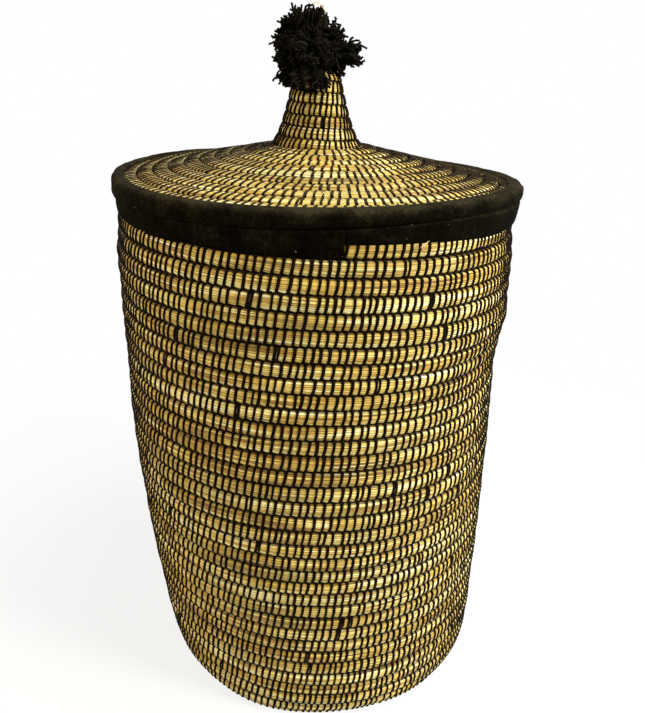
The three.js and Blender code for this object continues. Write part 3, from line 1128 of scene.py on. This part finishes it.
def make_yarn_tree():
    nodes, given = new_tree("yarn_strips", {
        "Float": ("Per area", "Radius", "Tufts", "Gather", "Clump", "Hook", "Curl", "Curls", "Droop",
                  "Lowest"),
        "Int": ("Points", "Seed"),
        "Vector": ("Root", "Tufts at"),
    })
    inputs = {"Mesh": given["Geometry"], "Density": given["Per area"], "Seed": given["Seed"]}
    ends = nodes.node("GeometryNodeDistributePointsOnFaces", {"distribute_method": "RANDOM"}, inputs)[0]
    position = nodes.position()
    ends = nodes.store(ends, "tip", position, VECTOR)
    ends = nodes.store(ends, "chance", nodes.chance(0.0, 1.0, given["Seed"] + 1))
    inputs = {"Vector": position.plus(given["Tufts at"]), "Scale": given["Tufts"]}
    cells = nodes.node("ShaderNodeTexVoronoi", {}, inputs)
    ends = nodes.store(ends, "tuft", cells[2].minus(given["Tufts at"]), VECTOR)
    ends = nodes.store(ends, "lock", cells[1], VECTOR)
    strip = nodes.node("GeometryNodeCurvePrimitiveLine", {"mode": "POINTS"}, {"End": (0.0, 0.0, 1.0)})[0]
    inputs = {"Curve": strip, "Count": given["Points"]}
    strip = nodes.node("GeometryNodeResampleCurve", {"mode": "COUNT"}, inputs)[0]
    strips = nodes.node("GeometryNodeInstanceOnPoints", {}, {"Points": ends, "Instance": strip})[0]
    strips = nodes.node("GeometryNodeRealizeInstances", {}, {"Geometry": strips})[0]
    share = nodes.node("GeometryNodeSplineParameter", {}, {})[0]
    tip = nodes.read("tip", VECTOR)
    lock = nodes.read("lock", VECTOR)
    chance = nodes.read("chance")
    whole = tip.minus(given["Root"])
    wisp = ((chance - YARN_WISPS_FROM) * 1000).clamped() * YARN_WISP_LENGTH
    by_lock = nodes.split(lock)[0] * YARN_LOCK_LENGTH
    length = by_lock + chance * YARN_OWN_LENGTH + YARN_LEAST_LENGTH + wisp
    placed = given["Root"].plus(whole.scaled(share.math("POWER", 0.8) * length))
    where = tip.scaled(YARN_SWIRLS).plus(nodes.vector(share * 3.4, chance * 1.6, 0.0))
    swirl = nodes.node("ShaderNodeTexNoise", {}, {"Vector": where, "Scale": 1.0, "Detail": 1.0})[1]
    placed = placed.plus(swirl.minus(HALVES).scaled(share * given["Clump"] * 2))
    gathered = nodes.read("tuft", VECTOR).minus(tip)
    placed = placed.plus(gathered.scaled(share.math("POWER", 2) * given["Gather"]))
    placed = placed.plus(lock.minus(HALVES).scaled(share.math("POWER", 3) * given["Hook"] * 2))
    phase = share * given["Curls"] * (chance + 0.5) * 2 * math.pi + chance * 60
    first_side = whole.vector_math("CROSS_PRODUCT", (0.3, 0.2, 1.0))
    second_side = whole.vector_math("CROSS_PRODUCT", first_side)
    for wave, side in (("COSINE", first_side), ("SINE", second_side)):
        waved = phase.math(wave) * given["Curl"] * share
        placed = placed.plus(side.vector_math("NORMALIZE").scaled(waved))
    right, back, height = nodes.split(whole)
    to_back = (back.math("ABSOLUTE") / YARN_SINK_BACK).clamped()
    beside = to_back * ((YARN_SINK_RIGHT - right) / YARN_SINK_FADE).clamped()
    low = (1 - height / YARN_SINK_HEIGHT).clamped()
    sunk = low * beside * share.math("POWER", 2) * given["Droop"]
    placed = placed.plus(nodes.vector(0.0, 0.0, sunk * -1))
    lifted = (given["Lowest"] - nodes.split(placed)[2]).math("MAXIMUM", 0) * YARN_LIFT
    strips = nodes.move(strips, placed.plus(nodes.vector(0.0, 0.0, lifted)))
    thick = 1 - share.math("POWER", 6) * YARN_THIN_END
    strips = nodes.node("GeometryNodeSetCurveRadius", {}, {"Curve": strips, "Radius": thick})[0]
    return end_tree(nodes, nodes.sweep(strips, nodes.ring(3, given["Radius"])), given["Material"])


yarn = make_yarn()
balls = bmesh.new()
pompom_root = Vector((FINIAL_SHIFT, 0, FINIAL_TOP))
for middle, radius in YARN_BALLS:
    place = Matrix.Translation(pompom_root + middle)
    bmesh.ops.create_icosphere(balls, subdivisions=3, radius=radius, matrix=place)
hidden = []
for face in balls.faces:
    middle = face.calc_center_median() - pompom_root
    inside = any((middle - centre).length < BALLS_OVERLAP * radius for centre, radius in YARN_BALLS)
    on_finial = middle.z < BALLS_ABOVE_TOP and math.hypot(middle.x, middle.y) < FINIAL_TOP_R
    if inside or on_finial:
        hidden.append(face)
bmesh.ops.delete(balls, geom=hidden, context="FACES")
ball_mesh = bpy.data.meshes.new("yarn_balls")
balls.to_mesh(ball_mesh)
pompom = settle("pompom_yarn", ball_mesh, make_yarn_tree(), {
    **YARN,
    "Root": pompom_root + Vector((0, 0, YARN_ROOT)),
    "Lowest": FINIAL_TOP + YARN_LOWEST,
    "Material": yarn,
})
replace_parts(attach(pompom, "lid"), "pompom")


def turned(name, outline, steps, material):
    """A round piece from its outline, from the middle of its underside up to the middle of its top."""
    points = [(0.0, 0.0, outline[0][1]), (0.0, 0.0, outline[-1][1])]
    for r, z in outline[1:-1]:
        for step in range(steps):
            points.append((*on_circle(r, 2 * math.pi * step / steps), z))
    faces = ring_faces(len(outline) - 2, steps, first=2)
    top = len(points) - steps
    for step in range(steps):
        beside = (step + 1) % steps
        faces += [(0, 2 + beside, 2 + step), (1, top + step, top + beside)]
    return add_mesh(name, points, faces, material)


knot_cut = math.acos(CORD_R / KNOT_R)
tie_outline = []
for step in range(KNOT_STEPS + 1):
    out, up = on_circle(KNOT_R, -math.pi / 2 + (math.pi / 2 + knot_cut) * step / KNOT_STEPS)
    ridge = 1 + KNOT_RIDGE * math.sin(step * KNOT_RIDGES) * (0 < step < KNOT_STEPS)
    tie_outline.append((out * ridge, KNOT_Z + up))
tie_outline += [(CORD_R, CORD_TOP), (0.0, CORD_TOP)]
tie = turned("pompom_tie_cord", tie_outline, TIE_SIDES, yarn)
tie.data.transform(Matrix.Translation((FINIAL_SHIFT, 0, 0)))
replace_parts(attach(tie, "lid"), "pompom_tie")


# Loose ends
# Straws of dry grass that have worked out of the coil at the top row and on the lid, and a curl of fibre in
# the pom-pom. They are only caught there, not sewn.

STRAW_TONES = [(0.2, (0.45, 0.30, 0.10)), (0.8, (0.80, 0.62, 0.30))]
STRAW_R = 0.00045
THIN_STRAW_R = 0.0004
THREAD_SIDES = 5
THREAD_TIP = 0.25
STRAW_ON_WALL = [
    (0.0841, -0.1840, 0.5207),
    (0.0864, -0.1832, 0.5225),
    (0.0893, -0.1818, 0.5243),
    (0.0921, -0.1804, 0.5262),
]
STRAW_ON_LID = [
    (0.0033, -0.1868, 0.5600),
    (0.0045, -0.1800, 0.5622),
    (0.0061, -0.1756, 0.5630),
    (0.0080, -0.1740, 0.5612),
]
FIBRE_IN_POMPOM = [
    (-0.0065, -0.022, 0.7050),
    (-0.0045, -0.022, 0.7075),
    (-0.002, -0.022, 0.7075),
    (0.001, -0.022, 0.7055),
    (0.0035, -0.022, 0.7025),
    (0.0065, -0.022, 0.6985),
]


def make_straw():
    made, nodes = new_material("loose_straw")
    tone = nodes.noise(nodes.place(), 700)
    finish_material(nodes, {"Base Color": nodes.ramp(STRAW_TONES, tone), "Roughness": 0.4 + tone * 0.2})
    return made


def thread(name, body, points, radius):
    """A thin closed tube of straw through points, narrower at both ends."""
    points = [Vector(point) for point in points]
    places = []
    for index, point in enumerate(points):
        ahead = points[min(index + 1, len(points) - 1)] - points[max(index - 1, 0)]
        rotation = ahead.to_track_quat("Z", "Y")
        thick = radius * (THREAD_TIP if index in (0, len(points) - 1) else 1)
        for side in range(THREAD_SIDES):
            x, y = on_circle(thick, 2 * math.pi * side / THREAD_SIDES)
            places.append(point + rotation @ Vector((x, y, 0)))
    faces = ring_faces(len(points), THREAD_SIDES) + end_faces(len(points), THREAD_SIDES)
    made = add_mesh(name, places, faces, loose_straw)
    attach(made, body)


loose_straw = make_straw()
thread("loose_straw_wall", "basket", STRAW_ON_WALL, STRAW_R)
thread("loose_straw_lid", "lid", STRAW_ON_LID, THIN_STRAW_R)
thread("loose_fibre_pompom", "lid", FIBRE_IN_POMPOM, THIN_STRAW_R)


# Studio
# A pale floor under a white sky, soft light from the front right, and the photograph's point of view.

CAMERA_PLACE = (0.0017, -0.7533, 0.6636)
CAMERA_DOWN = 0.3974
CAMERA_RIGHT = 0.0098
CAMERA_ROLL = -0.0194
FOCAL_PIXELS = 719.7
LONG_SIDE = 713
SENSOR = 36
SKY_LIGHT = 0.22
FLOOR_R = 6.0
FLOOR_STEPS = 64
FLOOR_COLOUR = (0.86, 0.86, 0.86, 1)
FLOOR_NEAR = 0.25
FLOOR_FADE = 0.7
FLOOR_WHITE = 0.82
WHITE = (1, 1, 1, 1)

camera_data = bpy.data.cameras.new("camera")
camera_data.sensor_width = SENSOR
camera_data.lens = FOCAL_PIXELS * SENSOR / LONG_SIDE
camera = add_object("camera", camera_data)
facing = (
    Matrix.Rotation(-CAMERA_RIGHT, 4, "Z")
    @ Matrix.Rotation(math.pi / 2 - CAMERA_DOWN, 4, "X")
    @ Matrix.Rotation(-CAMERA_ROLL, 4, "Z")
)
camera.matrix_world = Matrix.Translation(CAMERA_PLACE) @ facing
scene.camera = camera

scene.view_settings.view_transform = "Standard"


def soft_light(name, place, aim, size, power, colour):
    data = bpy.data.lights.new(name, "AREA")
    data.shape = "DISK"
    data.size = size
    data.energy = power
    data.color = colour
    light = add_object(name, data)
    light.location = place
    light.rotation_mode = "QUATERNION"
    light.rotation_quaternion = (Vector(aim) - Vector(place)).to_track_quat("-Z", "Y")


soft_light("key_light", (1.65, -0.95, 1.35), (0, 0, 0.3), size=0.6, power=57, colour=(1.0, 0.98, 0.92))
soft_light("top_light", (0.75, -0.25, 2.3), (0, 0, 0.5), size=0.9, power=36, colour=(1.0, 0.98, 0.94))
soft_light("fill_light", (-1.7, -0.8, 1.1), (0, 0, 0.3), size=0.9, power=22, colour=(1.0, 0.81, 0.53))

world = bpy.data.worlds.new("studio")
world.use_nodes = True
scene.world = world
world.node_tree.nodes.clear()
sky = Nodes(world.node_tree)
rays = sky.node("ShaderNodeLightPath", {}, {})
seen = rays[0].math("MAXIMUM", rays[3]).math("MAXIMUM", rays[6])
strength = seen * (1 - SKY_LIGHT) + SKY_LIGHT
light = sky.node("ShaderNodeBackground", {}, {"Color": WHITE, "Strength": strength})[0]
sky.node("ShaderNodeOutputWorld", {}, {"Surface": light})


def make_floor():
    """A pale floor that the camera sees as nearly white, and quite white from a little way off."""
    made, nodes = new_material("pale_floor")
    seen = nodes.node("ShaderNodeLightPath", {}, {})[0]
    far = ((nodes.place().vector_math("LENGTH") - FLOOR_NEAR) / FLOOR_FADE).clamped()
    lit = nodes.node("ShaderNodeBsdfDiffuse", {}, {"Color": FLOOR_COLOUR})[0]
    white = nodes.node("ShaderNodeEmission", {}, {"Color": WHITE, "Strength": 1.0})[0]
    inputs = {0: seen * (far * (1 - FLOOR_WHITE) + FLOOR_WHITE), 1: lit, 2: white}
    mixed = nodes.node("ShaderNodeMixShader", {}, inputs)[0]
    nodes.node("ShaderNodeOutputMaterial", {}, {"Surface": mixed})
    return made


floor_edge = [(*on_circle(FLOOR_R, 2 * math.pi * i / FLOOR_STEPS), 0.0) for i in range(FLOOR_STEPS)]
floor = add_mesh("floor", floor_edge, [tuple(range(FLOOR_STEPS))], make_floor())
